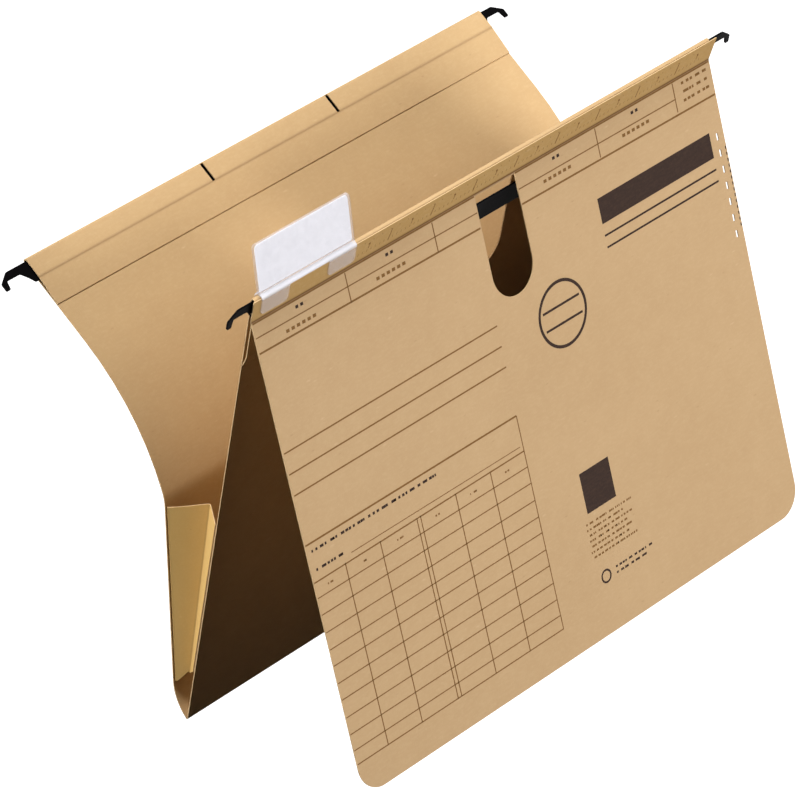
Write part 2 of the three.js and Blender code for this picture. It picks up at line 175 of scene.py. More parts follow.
def light_the_studio():
    """White surroundings to the camera and a trace of light all round, and four square lamps
    aimed at the middle of the folder."""
    world = bpy.data.worlds.new("studio")
    world.use_nodes = True
    tree = world.node_tree
    tree.nodes.clear()
    seen = seen_directly(tree)
    strength = calculate(tree, "MULTIPLY_ADD", seen, 0.988, 0.012)
    background = add_node(tree, "Background", {"Color": (1, 1, 1, 1), "Strength": strength})
    add_node(tree, "OutputWorld", {"Surface": background.outputs[0]})
    bpy.context.scene.world = world
    for name, place, size, power in (
        ("front_light", (0.85, -2.5, -0.12), 1.0, 64),
        ("left_rear_light", (-1.95, 0.55, 0.4), 0.7, 30),
        ("rear_light", (-0.5, 1.05, 1.5), 0.9, 9),
        ("top_light", (-0.3, -0.42, 1.75), 0.8, 42),
    ):
        lamp = bpy.data.lights.new(name, "AREA")
        lamp.size = size
        lamp.energy = power
        holder = add_object(name, lamp)
        holder.location = place
        holder.rotation_euler = (lamp_target - Vector(place)).to_track_quat("-Z", "Y").to_euler()


make_floor()
light_the_studio()

# Pocket board: one sheet of buff kraft board. From its hem inside the pocket it rolls over the
# rear rail, runs down as the bowed back panel, folds sharply at the bottom, runs up as the
# front wall and rolls over the front rail into a second hem. Its rolls are glued nowhere.

MM = 0.001  # the folder's sizes are given in millimetres, points of its side view as (y, z)
board_thickness = 0.5
board_half_width = 158.5
roll_radius = 1.05
roll_top = 1.3
rear_up = math.radians(51.3)
wall_up = math.radians(116.8)
rear_crest = np.array([3.3763, 4.2143])
cover_fold = np.array([-145.3167, -9.9771])
wall_fold = np.array([-142.7282, -8.6696])
wall_length = 248.5
scale_height = 10.5
rear_hem, front_hem, front_hem_flat = 26.3, 27.0, 21.8
rear_flat, lower_back, fold_run = 48.5, 98.5, 1.0
bow_turn, bow_radius = math.radians(35.7), 127.5
knee_turn, knee_radius = math.radians(18), 25
foot_turn, foot_radius = math.radians(45), 25.5
fold_turn, fold_radius = -math.radians(123.2), 0.5
hem_closes_by, hem_bend = 1.4, 0.4
groove, groove_half = math.radians(14), 0.8
sharp_from = math.radians(38)
soft_crease_below_crest = 10.9
slits_at, slit_width, slit_depth = (-41.5, 46.0), 1.9, 11.0
wall_hole_left, wall_hole_right = -10.2, 20.8
hem_window_left, hem_window_right = -14.2, 29.8
finger_depth = 56.5


def way(heading):
    return np.stack([np.cos(heading), np.sin(heading)], -1)


def left_of(heading):
    return np.stack([-np.sin(heading), np.cos(heading)], -1)


def walk_board(start, heading, moves):
    """A board's middle line in the side view. Each move is a length and the angle it turns by:
    a straight run goes length times the heading, and an arc of radius length / turn goes radius
    times the change of the heading's sine and cosine. Gives the distance walked, the points
    and the headings as arrays."""
    places, headings, walked = [np.array([start], float)], [np.array([heading])], [np.zeros(1)]
    for length, turn in moves:
        here, before, distance = places[-1][-1], headings[-1][-1], walked[-1][-1]
        steps = max(1, math.ceil(length / 9)) if turn == 0 else max(4, math.ceil(abs(turn) / 0.10))
        share = np.linspace(0, 1, steps + 1)[1:]
        now = before + turn * share
        if turn == 0:
            moved = share[:, None] * length * way(before)
        else:
            moved = length / turn * (left_of(before) - left_of(now))
        places.append(here + moved)
        headings.append(now)
        walked.append(distance + length * share)
    return np.concatenate(walked), np.concatenate(places), np.concatenate(headings)


def bend_rows_round(rows, columns, left, right, edge, anchor):
    """Rows between edge and anchor are drawn towards anchor inside a round-ended hole: at
    column x the hole ends at edge plus the height of a half circle, away from the hole."""
    radius, middle = (right - left) / 2, (right + left) / 2
    height = np.sqrt(np.maximum(radius**2 - (columns - middle) ** 2, 0))
    end = edge + np.sign(anchor - edge) * height
    share = np.round((rows - anchor) / (edge - anchor), 5)
    inside = (columns >= left) & (columns <= right) & (share >= 0) & (share <= 1)
    return np.where(inside, anchor + share * (end - anchor), rows)


def quads_between(rows, columns, left, right, low, high):
    """Marks the quads of a lattice whose middles lie between two columns and two rows."""
    row_middle = (rows[:-1] + rows[1:])[:, None] / 2
    column_middle = (columns[:-1] + columns[1:])[None] / 2
    across = (column_middle > left) & (column_middle < right)
    return across & (row_middle > low) & (row_middle < high)


def make_sheet(name, points, normals, quads, thickness, materials, marks=None):
    """A closed sheet: its points moved half the thickness both ways along their normals, joined
    round every free edge by a rim. The rim takes the second material, the cut board."""
    used, quads = np.unique(quads, return_inverse=True)
    quads = quads.reshape(-1, 4)
    points, normals = points.reshape(-1, 3)[used], normals.reshape(-1, 3)[used]
    edges = np.concatenate([quads[:, [i, (i + 1) % 4]] for i in range(4)])
    count = len(used)
    forward, backward = edges[:, 0] * count + edges[:, 1], edges[:, 1] * count + edges[:, 0]
    free = edges[~np.isin(forward, backward)]
    rim = np.stack([free[:, 1], free[:, 0], free[:, 0] + count, free[:, 1] + count], -1)
    half = normals * thickness / 2
    shell = np.concatenate([points + half, points - half]) * MM
    faces = np.concatenate([quads, quads[:, ::-1] + count, rim])
    mesh = bpy.data.meshes.new(name)
    mesh.from_pydata(shell.tolist(), [], faces.tolist())
    mesh.polygons.foreach_set("use_smooth", np.ones(len(faces), bool))
    if len(materials) > 1:
        mesh.polygons.foreach_set("material_index", np.repeat([0, 1], [2 * len(quads), len(rim)]))
    for material in materials:
        mesh.materials.append(material)
    if marks is not None:
        attribute = mesh.attributes.new("crease", "FLOAT", "POINT")
        attribute.data.foreach_set("value", np.tile(marks.reshape(-1)[used], 2).astype(np.float32))
    mesh.set_sharp_from_angle(angle=sharp_from)
    mesh.update()
    return add_object(name, mesh)


def swept(walked, places, headings, rows, columns):
    """A point for every row and column: the row says how far along the walk, the column how
    far along the rail. Its normal is square to the heading in the side view."""
    y, z = (np.interp(rows, walked, places[:, i]) for i in (0, 1))
    heading = np.interp(rows, walked, headings)
    points = np.stack([columns, y, z], -1)
    normals = np.concatenate([np.zeros(rows.shape + (1,)), left_of(heading)], -1)
    return points, normals


def noise_on(tree, where, scale, detail, **settings):
    """Cloudy noise over the surface, from 0 to 1."""
    values = {"Vector": where, "Scale": scale, "Detail": detail, **settings}
    return add_node(tree, "TexNoise", values).outputs["Fac"]


def make_kraft_group():
    """Kraft board's own pattern, as values over the surface: Cloud is the pulp's slow change of
    tone, Fibre the short strands that lie mostly along the rail, Dark and Pale the bits of bark
    and bleached pulp, Height the surface that all of them leave."""
    tree = bpy.data.node_groups.new("kraft_pulp", "ShaderNodeTree")
    where = add_node(tree, "TexCoord").outputs["Object"]

    def laid(stretch, turn):
        values = {"Vector": where, "Scale": stretch, "Rotation": turn}
        return add_node(tree, "Mapping", values).outputs[0]

    def noise(scale, detail, stretch=(1, 1, 1), turn=(0, 0, 0)):
        return noise_on(tree, laid(stretch, turn), scale, detail)

    def specks(scale, stretch, turn, reach, share):
        """Grains no wider than reach of a cell, in this share of the cells."""
        values = {"Vector": laid(stretch, turn), "Scale": scale}
        cells = add_node(tree, "TexVoronoi", values).outputs
        near = spread(tree, cells["Distance"], reach, 0.0, 0.0, 1.0)
        any_number = add_node(tree, "SeparateColor", {"Color": cells["Color"]}).outputs[0]
        return calculate(tree, "MULTIPLY", near, calculate(tree, "LESS_THAN", any_number, share))

    broad = noise(16, 2)
    fine = noise(95, 4)
    cloud = calculate(tree, "MULTIPLY_ADD", fine, 0.45, calculate(tree, "MULTIPLY", broad, 0.55))
    strands = noise(300, 3, (1, 3.2, 3.2), (0.2, 0.1, 0.06))
    crossed = noise(420, 2, (5, 1, 1.6), (0.5, 0.3, 0.4))
    fibre = calculate(tree, "MULTIPLY_ADD", crossed, 0.4, calculate(tree, "MULTIPLY", strands, 0.6))
    dark = specks(330, (0.35, 1, 1), (0.3, 0.5, 0.25), 0.16, 0.14)
    pale = specks(290, (0.3, 1, 1), (0.9, 0.2, 0.6), 0.17, 0.16)
    grit = noise(2600, 2)
    height = calculate(tree, "MULTIPLY_ADD", fibre, 0.7, calculate(tree, "MULTIPLY", grit, 0.3))
    out = tree.nodes.new("NodeGroupOutput")
    values = {"Cloud": cloud, "Fibre": fibre, "Dark": dark, "Pale": pale, "Height": height}
    for name, value in values.items():
        tree.interface.new_socket(name, in_out="OUTPUT", socket_type="NodeSocketFloat")
        tree.links.new(value, out.inputs[name])
    return tree


kraft_group = make_kraft_group()


def paint(red, green, blue):
    """A colour given as screen values from 0 to 255, turned into linear light."""
    share = np.array([red, green, blue]) / 255
    linear = np.where(share <= 0.04045, share / 12.92, ((share + 0.055) / 1.055) ** 2.4)
    return (*linear.tolist(), 1.0)


def laid_over(tree, tone, mask, share, colour):
    """The tone with a colour laid over it where the mask is, up to that share of it."""
    return blend_colour(tree, calculate(tree, "MULTIPLY", mask, share), tone, colour)


def coat(tree, tone, roughness, specular, height, strength, distance):
    """The material's shader, its surface pressed in by a height that is distance metres deep."""
    bump = add_node(tree, "Bump", {"Height": height, "Strength": strength, "Distance": distance})
    shader = add_node(tree, "BsdfPrincipled", {
        "Base Color": tone, "Roughness": roughness, "Specular IOR Level": specular,
        "Normal": bump.outputs[0],
    })
    add_node(tree, "OutputMaterial", {"Surface": shader.outputs[0]})


def kraft_material(name, base, dark, pale):
    """Unbleached board: its base tone clouded by the pulp, with fibres, bark and pale bits, a
    little smoother where a crease has been pressed into it and darker there, partly the pressed
    board and partly painted shade of the fold."""
    material, tree = fresh_material(name)
    pulp = add_node(tree, "Group", node_tree=kraft_group).outputs
    tone = blend_colour(tree, spread(tree, pulp["Cloud"], 0.34, 0.66, 0.0, 0.16), base, dark)
    tone = blend_colour(tree, spread(tree, pulp["Fibre"], 0.46, 0.68, 0.0, 0.13), tone, pale)
    tone = laid_over(tree, tone, pulp["Dark"], 0.4, dark)
    tone = laid_over(tree, tone, pulp["Pale"], 0.35, pale)
    mark = add_node(tree, "Attribute", attribute_name="crease").outputs["Fac"]
    # painted shade in the creases, partly the pressed board's own darker line
    tone = laid_over(tree, tone, mark, 0.85, paint(92, 56, 26))
    roughness = spread(tree, pulp["Fibre"], 0.0, 1.0, 0.78, 0.92)
    roughness = calculate(tree, "MULTIPLY_ADD", mark, -0.15, roughness)
    coat(tree, tone, roughness, 0.03, pulp["Height"], 0.35, 0.00012)
    return material


def paint_faces(piece, material, chosen):
    """Gives a further material to the faces that chosen picks, from their middles in
    millimetres and the numbers of the materials they have."""
    mesh = piece.data
    mesh.materials.append(material)
    numbers = np.zeros(len(mesh.polygons), np.int32)
    centres = np.zeros((len(mesh.polygons), 3), np.float32)
    mesh.polygons.foreach_get("material_index", numbers)
    mesh.polygons.foreach_get("center", centres.ravel())
    numbers[chosen(centres / MM, numbers)] = len(mesh.materials) - 1
    mesh.polygons.foreach_set("material_index", numbers)


def cut_board_material(name, shade=0.0):
    """The edge of cut board: a pale core in thin plies, with painted shade that makes it browner
    where a hole's edge lies in the shade."""
    material, tree = fresh_material(name)
    pulp = add_node(tree, "Group", node_tree=kraft_group).outputs
    tone = laid_over(tree, board_core, pulp["Fibre"], 0.5, board_pale)
    tone = laid_over(tree, tone, pulp["Dark"], 0.7, board_dark)
    # painted shade: shade blends the cut edge towards dark brown
    tone = blend_colour(tree, shade, tone, paint(104, 70, 40))
    coat(tree, tone, 0.92, 0.03, pulp["Height"], 0.5, 0.00015)
    return material


board_dark = paint(168, 132, 92)
board_pale = paint(226, 200, 162)
board_core = paint(205, 172, 124)
kraft_board = kraft_material("kraft_board", paint(198, 166, 122), board_dark, board_pale)
cut_board = cut_board_material("cut_board")

rear_roll_centre = rear_crest - roll_top * way(rear_up)
soft_run = rear_hem - soft_crease_below_crest - groove_half
rear_close = math.atan2(hem_closes_by, soft_run)
hem_start = rear_roll_centre + (roll_top - rear_hem) * way(rear_up)
hem_start = hem_start + (roll_radius - hem_closes_by) * left_of(rear_up)
front_close = math.atan2(hem_closes_by, front_hem - front_hem_flat)
fold_tangent = fold_radius * math.tan(abs(fold_turn) / 2)
rear_moves = [
    (math.hypot(soft_run, hem_closes_by), 0),
    (0.5, groove), (0.6, -2 * groove), (0.5, groove), (0.2, -rear_close),
    (rear_hem - roll_top - soft_run - 1.8, 0),
    (math.pi * roll_radius, -math.pi),
    (rear_flat - roll_top, 0),
    (bow_turn * bow_radius, bow_turn),
    (knee_turn * knee_radius, knee_turn),
    (lower_back, 0),
    (foot_turn * foot_radius, -foot_turn),
    (fold_run - fold_tangent, 0),
    (abs(fold_turn) * fold_radius, fold_turn),
    (wall_length - fold_tangent, 0),
]
front_moves = [
    (scale_height, 0),
    (math.pi * roll_radius, math.pi),
    (scale_height, 0),
    (front_hem_flat - hem_bend, 0),
    (hem_bend, front_close),
    (math.hypot(front_hem - front_hem_flat, hem_closes_by), 0),
]
walked, places, headings = walk_board(hem_start, rear_up + rear_close, rear_moves + front_moves)
lengths = np.cumsum([length for length, _ in rear_moves + front_moves])
soft_crease_at = soft_run + groove_half
bottom_at = lengths[len(rear_moves) - 2] - abs(fold_turn) * fold_radius / 2
wall_fold_at = lengths[len(rear_moves) - 1]
hem_fold_at = lengths[len(rear_moves) + 2]
hole_radius = (wall_hole_right - wall_hole_left) / 2
hole_edge_at = wall_fold_at - finger_depth + hole_radius
hole_anchor_at = hole_edge_at - 2.4 * hole_radius
slit_low_at, slit_high_at = rear_hem - slit_depth, rear_hem - roll_top + 0.9

across_hole = np.sin(np.linspace(-np.pi / 2, np.pi / 2, 27))
hole_columns = (wall_hole_left + wall_hole_right) / 2 + hole_radius * across_hole
slit_columns = np.concatenate([[x - slit_width / 2, x + slit_width / 2] for x in slits_at])
plain_columns = np.linspace(-board_half_width, board_half_width, 37)
plain_columns = plain_columns[
    (plain_columns < wall_hole_left - 6) | (plain_columns > hem_window_right + 4)]
columns = np.unique(np.concatenate([
    plain_columns, hole_columns, slit_columns,
    [hem_window_left, hem_window_right, hem_window_right - 4],
]).round(5))
beside_crease = np.array([-1.8, -1.1, -0.5, 0, 0.5, 1.1, 1.8])
extra_rows = [
    slit_low_at, slit_high_at, hole_edge_at, hole_anchor_at,
    *(soft_crease_at + beside_crease), *(bottom_at + beside_crease),
    *np.linspace(hole_anchor_at, hole_edge_at, 12)]
rows = np.unique(np.concatenate([walked, extra_rows]).round(5))
row_grid, column_grid = np.meshgrid(rows, columns, indexing="ij")
bent_rows = bend_rows_round(
    row_grid, column_grid, wall_hole_left, wall_hole_right, hole_edge_at, hole_anchor_at)
points, normals = swept(walked, places, headings, bent_rows, column_grid)
cut_out = (
    quads_between(rows, columns, wall_hole_left, wall_hole_right, hole_edge_at, wall_fold_at)
    | quads_between(rows, columns, hem_window_left, hem_window_right, hem_fold_at, math.inf)
)
for x in slits_at:
    cut_out |= quads_between(
        rows, columns, x - slit_width / 2, x + slit_width / 2, slit_low_at, slit_high_at)
# Painted shade along the rear hem's soft crease and the bottom fold, partly the pressed board's
# darker line.
crease_marks = np.maximum(
    0.34 * np.exp(-(((row_grid - soft_crease_at) / 0.7) ** 2)),
    0.9 * np.exp(-(((row_grid - bottom_at) / 0.9) ** 2)),
)
pocket_board = make_sheet(
    "pocket_board", points, normals, lattice(len(rows), len(columns), cut_out), board_thickness,
    [kraft_board, cut_board], crease_marks,
)
# Painted shade: the cut edge of the wall's finger hole, in the shadow under the cover, gets the
# browner edge.
paint_faces(pocket_board, cut_board_material("painted_shade_cut", 0.75), lambda centres, numbers: (
    (numbers == 1) & (centres[:, 1] < wall_fold[0] + 30)
    & (centres[:, 0] > wall_hole_left - 1) & (centres[:, 0] < wall_hole_right + 1)))
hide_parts("back_panel", "front_wall")
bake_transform(pocket_board)

# Cover: a second sheet of the same board. Its top strip is glued on the front wall above the
# crease and carries the scale, and below the crease it hangs free, with round corners, the
# finger hole and a column of punched slots for a fastener.

cover_half_width, cover_height, cover_corner = 160.0, 240.0, 14.0
strip_top, strip_taper, taper_from = 11.6, 3.0, 120.0
finger_left, finger_right = -10.2, 17.8
punch_rows = -36.7 - 8.5 * np.arange(7)
punch_left, punch_right, punch_high = 154.55, 155.85, 3.8
cover_turn = -math.radians(26.8)
cover_bend_radius = 1.4
blend_above, blend_below, hole_below = 0.9, 1.1, 1.1

bend_tangent = cover_bend_radius * math.tan(abs(cover_turn) / 2)
cover_moves = [
    (strip_top - bend_tangent, 0),
    (abs(cover_turn) * cover_bend_radius, cover_turn),
    (cover_height - bend_tangent, 0),
]
walked, places, headings = walk_board(
    cover_fold + strip_top * way(wall_up), wall_up - math.pi, cover_moves)
cover_fold_at = cover_moves[0][0] + cover_moves[1][0] / 2
cover_end_at = walked[-1]
below_fold = cover_moves[0][0] + cover_moves[1][0] - bend_tangent


def cover_row(z):
    """How far along the cover's walk a height below the crease lies."""
    return below_fold - z


finger_radius = (finger_right - finger_left) / 2
finger_edge_at = cover_row(-finger_depth + finger_radius)
finger_anchor_at = cover_row(-finger_depth - 1.3 * finger_radius)
corner_anchor_at = cover_row(-cover_height + 2.2 * cover_corner)
finger_columns = (finger_left + finger_right) / 2 + finger_radius * across_hole
corner_columns = cover_half_width - cover_corner * (1 - np.sin(np.linspace(0, np.pi / 2, 13)))
plain_columns = np.linspace(-cover_half_width, cover_half_width, 41)
plain_columns = plain_columns[
    (abs(plain_columns) < cover_half_width - cover_corner)
    & ((plain_columns < finger_left - 3) | (plain_columns > finger_right + 3))
]
columns = np.unique(np.concatenate([
    plain_columns, finger_columns, corner_columns, -corner_columns, [punch_left, punch_right],
]).round(5))
punch_edges = cover_row(np.concatenate([punch_rows, punch_rows - punch_high]))
rows = np.unique(np.concatenate([
    walked, punch_edges, cover_fold_at + beside_crease,
    [finger_edge_at, finger_anchor_at, corner_anchor_at],
    np.linspace(finger_edge_at, finger_anchor_at, 10),
    np.linspace(corner_anchor_at, cover_end_at, 8),
]).round(5))
row_grid, column_grid = np.meshgrid(rows, columns, indexing="ij")
bent_rows = bend_rows_round(
    row_grid, column_grid, finger_left, finger_right, finger_edge_at, finger_anchor_at)
past_corner = np.maximum(abs(column_grid) - (cover_half_width - cover_corner), 0)
corner_drop = np.sqrt(np.maximum(cover_corner**2 - past_corner**2, 0))
outline_end = cover_end_at - cover_corner + corner_drop
share = (row_grid - corner_anchor_at) / (cover_end_at - corner_anchor_at)
round_rows = corner_anchor_at + share * (outline_end - corner_anchor_at)
bent_rows = np.where(share > 0, round_rows, bent_rows)
on_strip = np.clip((cover_fold_at - row_grid) / strip_top, 0, 1)
past_taper = np.clip((column_grid - taper_from) / (cover_half_width - taper_from), 0, 1)
slanted_columns = column_grid + strip_taper * on_strip * past_taper
points, normals = swept(walked, places, headings, bent_rows, slanted_columns)
cut_out = quads_between(
    rows, columns, finger_left, finger_right, cover_row(-hole_below), finger_edge_at)
for z in punch_rows:
    cut_out |= quads_between(
        rows, columns, punch_left, punch_right, cover_row(z), cover_row(z - punch_high))
# Painted shade along the cover's crease, partly the pressed board's darker line.
fold_marks = np.exp(-(((row_grid - cover_fold_at) / 0.75) ** 2))
cover_board = kraft_material("cover_board", paint(201, 168, 127), board_dark, board_pale)
cover_sheet = make_sheet(
    "cover_sheet", points, normals, lattice(len(rows), len(columns), cut_out), board_thickness,
    [cover_board, cut_board], fold_marks,
)
# Painted shade: the strip above the crease faces down, so it gets a darker, yellower copy of the
# cover board.
strip_painted_shade = kraft_material("strip_painted_shade", paint(190, 153, 98), board_dark, board_pale)
paint_faces(cover_sheet, strip_painted_shade, lambda centres, numbers: (
    (centres[:, 2] > cover_fold[1]) & (numbers == 0)))
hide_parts("cover", "cover_strip")
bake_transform(cover_sheet)

# Gussets: at each end a strip of thinner board, folded once down its middle and pushed into the
# pocket. One edge flap is glued to the back panel, the other to the front wall.

gusset_board = 0.4
gusset_edge = 157.7
apex = np.array([-17.3438, -253.8942])
rear_crease = np.array([0, -0.2588, 0.9659])
front_crease = np.array([0, -0.4509, 0.8926])
middle_way = np.array([0, -0.3567, 0.9342])
push_in = 0.08819
rear_span = np.array([45.31, 143.31])
front_span = np.array([56.42, 149.82])
middle_span = np.array([50.86, 146.56])
crease_trim, middle_trim, front_trim = 0.6, 1.1, 0.4
middle_round, middle_tip = 0.5, 0.14
flap_width, flap_lift = 12.0, 0.6
flap_bend = [(1.0, crease_trim + flap_width, flap_width / 2), (1.0, crease_trim + 0.6, 0.3)]
rear_bend = [*flap_bend, (0.97, 0.45, 0), (0.7, 0.12, 0), (0.25, 0, 0)]
front_bend = [*flap_bend, (1.0, 0.45, 0), (0.9, 0.12, 0)]
rear_out = np.array([0, *way(math.radians(15))])
wall_out = np.array([0, *left_of(wall_up)])
inside_board = kraft_material(
    "gusset_board", paint(212, 176, 110), paint(180, 140, 78), paint(228, 200, 142))


def ruled_strip(lines, rows):
    """A strip ruled between several lines across it, each given by its lower and upper end.
    Point (i, j) lies i rows up line j."""
    up = np.linspace(0, 1, rows)[:, None]
    return np.stack([low + up * (high - low) for low, high in lines], 1)


def mean_normals(points):
    """The normal at each lattice point: along the rows crossed with up the columns."""
    normal = np.cross(np.gradient(points, axis=1), np.gradient(points, axis=0))
    return normal / np.linalg.norm(normal, axis=-1, keepdims=True)


def towards(first, second):
    """The unit way from the line first to the line second, square to the first."""
    way_over = second - first * np.dot(first, second)
    return way_over / np.linalg.norm(way_over)


def gusset_sheet(name, lines, turned, creased, mark):
    """A sheet of gusset board ruled between lines, which lie in the other order where it is turned.
    The lines that creased picks carry the mark of a crease, a darker line that is partly the
    pressed board and partly painted shade."""
    strip = ruled_strip(lines, 12)
    marks = np.zeros(strip.shape[:2])
    marks[:, creased] = mark
    if turned:
        strip, marks = strip[:, ::-1], marks[:, ::-1]
    return make_sheet(
        name, strip, mean_normals(strip), lattice(*marks.shape), gusset_board,
        [inside_board, cut_board], marks,
    )


for side, name in ((-1, "left"), (1, "right")):
    origin = np.array([side * gusset_edge, *apex])
    middle_crease = middle_way * math.cos(push_in) + np.array([-side * math.sin(push_in), 0, 0])
    inward = np.array([-side, 0, 0])
    rear_near = crease_trim * towards(rear_crease, middle_crease)
    to_rear, to_front = towards(middle_crease, rear_crease), towards(middle_crease, front_crease)

    def line(direction, span, offset=0, cut=0):
        """A line up the gusset, moved by an offset and cut short at both ends."""
        low, high = span[0] + cut, span[1] - cut
        return origin + direction * low + offset, origin + direction * high + offset

    def bend(direction, span, out, steps):
        """The lines of a flap and its bend. Each step is a share of the flap's lift, how far
        inward the line lies and how much is cut off both its ends."""
        return [
            line(direction, span, share * flap_lift * out + reach * inward, cut)
            for share, reach, cut in steps
        ]

    rear_half = gusset_sheet(name + "_gusset_rear_half", [
        *bend(rear_crease, rear_span, rear_out, rear_bend),
        line(rear_crease, rear_span, rear_near),
        line((rear_crease + middle_crease) / 2, (rear_span + middle_span) / 2),
        line(middle_crease, middle_span, middle_trim * to_rear),
    ], side > 0, slice(2, 5), 0.25)
    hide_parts(name + "_gusset_rear_flap", name + "_gusset_rear_leaf")
    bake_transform(rear_half)

    front_half = gusset_sheet(name + "_gusset_front_half", [
        line(middle_crease, middle_span, middle_trim * to_rear),
        line(middle_crease, middle_span, middle_round * to_rear),
        line(middle_crease, middle_span, middle_tip * (to_rear + to_front)),
        line(middle_crease, middle_span, middle_round * to_front),
        line(middle_crease, middle_span, middle_trim * to_front),
        line((front_crease + middle_crease) / 2, (front_span + middle_span) / 2),
        line(front_crease, front_span, front_trim * towards(front_crease, middle_crease)),
    ], side > 0, slice(1, 4), 0.3)
    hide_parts(name + "_gusset_front_leaf")
    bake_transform(front_half)

    front_flap = gusset_sheet(
        name + "_gusset_glue_flap", bend(front_crease, front_span, wall_out, front_bend),
        side < 0, slice(0, 0), 0)
    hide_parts(name + "_gusset_front_flap")
    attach(front_flap, "front")

# Rails: two stamped steel strips in the rolled hems, with a hook drawn out at each end that
# sits on the rack's rail. Black lacquer over steel, with the sheared edges rounded over.

rail_half_length = 175.25
rail_top, web_height = 1.2, 11.0
front_web_top = 21.8
tip_width, mouth_width, neck_width = 2.6, 9.6, 4.7
seat_below_top, tip_reach = 4.2, 9.7
inner_reach, riser_width = 15, 3
neck_slope, seat_slope, tip_slope = 3, 1, 6
rail_thickness, rail_bevel, rail_corner = 1.0, 0.2, 0.7


def rail_outline(shift_right, web_top):
    """One rail's outline, x along it and y up from the crest: the right hook's corners, and the
    same corners turned over for the left hook."""
    def hook(tip):
        mouth_end = tip - tip_width
        mouth_start = mouth_end - mouth_width
        neck = mouth_start - neck_width
        seat, bottom = -rail_top - seat_below_top, -rail_top - web_height
        inner, riser = neck - inner_reach, neck - riser_width
        lower = [(inner, -web_top - web_height)]
        if web_top > rail_top:
            lower += [(riser, -web_top - web_height), (riser, bottom)]
        upper = [
            (neck, bottom), (mouth_start - neck_slope, bottom + neck_slope), (mouth_start, seat),
            (mouth_end - seat_slope, seat), (mouth_end, -tip_reach), (tip, -tip_reach),
            (tip, seat), (tip - tip_slope, -rail_top), (inner, -rail_top),
        ]
        return np.array(lower + upper + ([(inner, -web_top)] if web_top > rail_top else []))

    right_hook = hook(rail_half_length + shift_right)
    left_hook = hook(rail_half_length - shift_right)[::-1] * [-1, 1]
    return np.concatenate([right_hook, left_hook])


def eased(first, corner, last, steps):
    """Curves that leave first towards corner and reach last from it: the three points weighted
    by (1-t)^2, 2t(1-t) and t^2 as t goes from 0 to 1."""
    t = np.linspace(0, 1, steps)[None, :, None]
    curve = (1 - t) ** 2 * first[:, None] + 2 * t * (1 - t) * corner[:, None] + t**2 * last[:, None]
    return curve.reshape(-1, 2)


def rounded(outline, radius):
    """Every corner of an outline eased between points the radius before and after it, or a
    third of the side where that is shorter."""
    before, after = np.roll(outline, 1, 0) - outline, np.roll(outline, -1, 0) - outline
    reach_before, reach_after = (
        np.minimum(radius / np.linalg.norm(side, axis=1), 0.33)[:, None]
        for side in (before, after))
    return eased(outline + before * reach_before, outline, outline + after * reach_after, 4)


def make_plate(name, outline, thickness, origin, heading, material, bevel):
    """A flat plate cut to an outline, x along the rail and y along the heading in the side view,
    thickened about its plane, its cut edges rounded over."""
    points = np.concatenate([outline[:, :1], origin + outline[:, 1:] * way(heading)], 1)
    mesh = bpy.data.meshes.new(name)
    mesh.from_pydata((points * MM).tolist(), [], [list(range(len(points)))])
    mesh.materials.append(material)
    piece = add_object(name, mesh)
    wall = piece.modifiers.new("thickness", "SOLIDIFY")
    wall.thickness = thickness * MM
    wall.offset = 0
    edge = piece.modifiers.new("rounded_edge", "BEVEL")
    edge.width = bevel * MM
    edge.segments = 2
    edge.limit_method = "ANGLE"
    edge.angle_limit = math.radians(60)
    return piece


def lacquer_material():
    """Black lacquer on steel: an even satin coat, thinner and greyer in small rubbed patches,
    with the faint orange-peel that dipping leaves."""
    material, tree = fresh_material("black_lacquer")
    where = add_node(tree, "TexCoord").outputs["Object"]
    rub = noise_on(tree, where, 160.0, 5.0, Roughness=0.65)
    worn = spread(tree, rub, 0.56, 0.74, 0.0, 0.5)
    tone = blend_colour(tree, worn, paint(6, 5, 6), paint(20, 19, 21))
    peel = noise_on(tree, where, 900.0, 1.0)
    coat(tree, tone, spread(tree, rub, 0.0, 1.0, 0.26, 0.46), 0.02, peel, 0.25, 0.0001)
    return material


black_lacquer = lacquer_material()
crest_height = scale_height + roll_top
front_rail_centre = wall_fold + roll_radius * left_of(wall_up) + crest_height * way(wall_up)
for name, body, shift, web_top, origin, heading in (
    ("rear_rail", "back", -2.2, rail_top, rear_crest, rear_up),
    ("front_rail", "front", 1.1, front_web_top, front_rail_centre, wall_up),
):
    outline = rounded(rail_outline(shift, web_top), rail_corner)
    rail = make_plate(
        name + "_strip", outline, rail_thickness, origin, heading, black_lacquer, rail_bevel)
    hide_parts(name)
    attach(rail, body)

# Tab: a clear milky sleeve bent from one strip of plastic, clipped over the front crest by two
# feet on each side, and the white card that slides in it.

tab_left, tab_right = -155.3, -93.3
tab_height, tab_corner = 25.5, 2.4
tab_wall, tab_slot, tab_neck = 0.6, 0.9, 0.9
tab_up = math.radians(99)
tab_base = np.array([-149.6133, 1.7447])
card_base = np.array([-149.8479, 3.2263])
tab_gap = 0.3
foot_width, foot_corner, foot_below_crest = 18.0, 2.5, 9
saddle_top = crest_height + tab_gap + tab_wall
foot_bottom = crest_height - foot_below_crest
foot_front = 2 * roll_radius + 1.5 * board_thickness + 2 * tab_gap
foot_back = -board_thickness / 2 - tab_gap
card_thickness, card_height, card_inset, card_bevel = 0.3, 23.1, 0.6, 0.06


def on_wall(up, out):
    """A point in the side view, that far up the wall from the crease and out in front of it."""
    return wall_fold + up * way(wall_up) + out * left_of(wall_up)


def on_tab(up, out):
    return tab_base + up * way(tab_up) + out * left_of(tab_up)


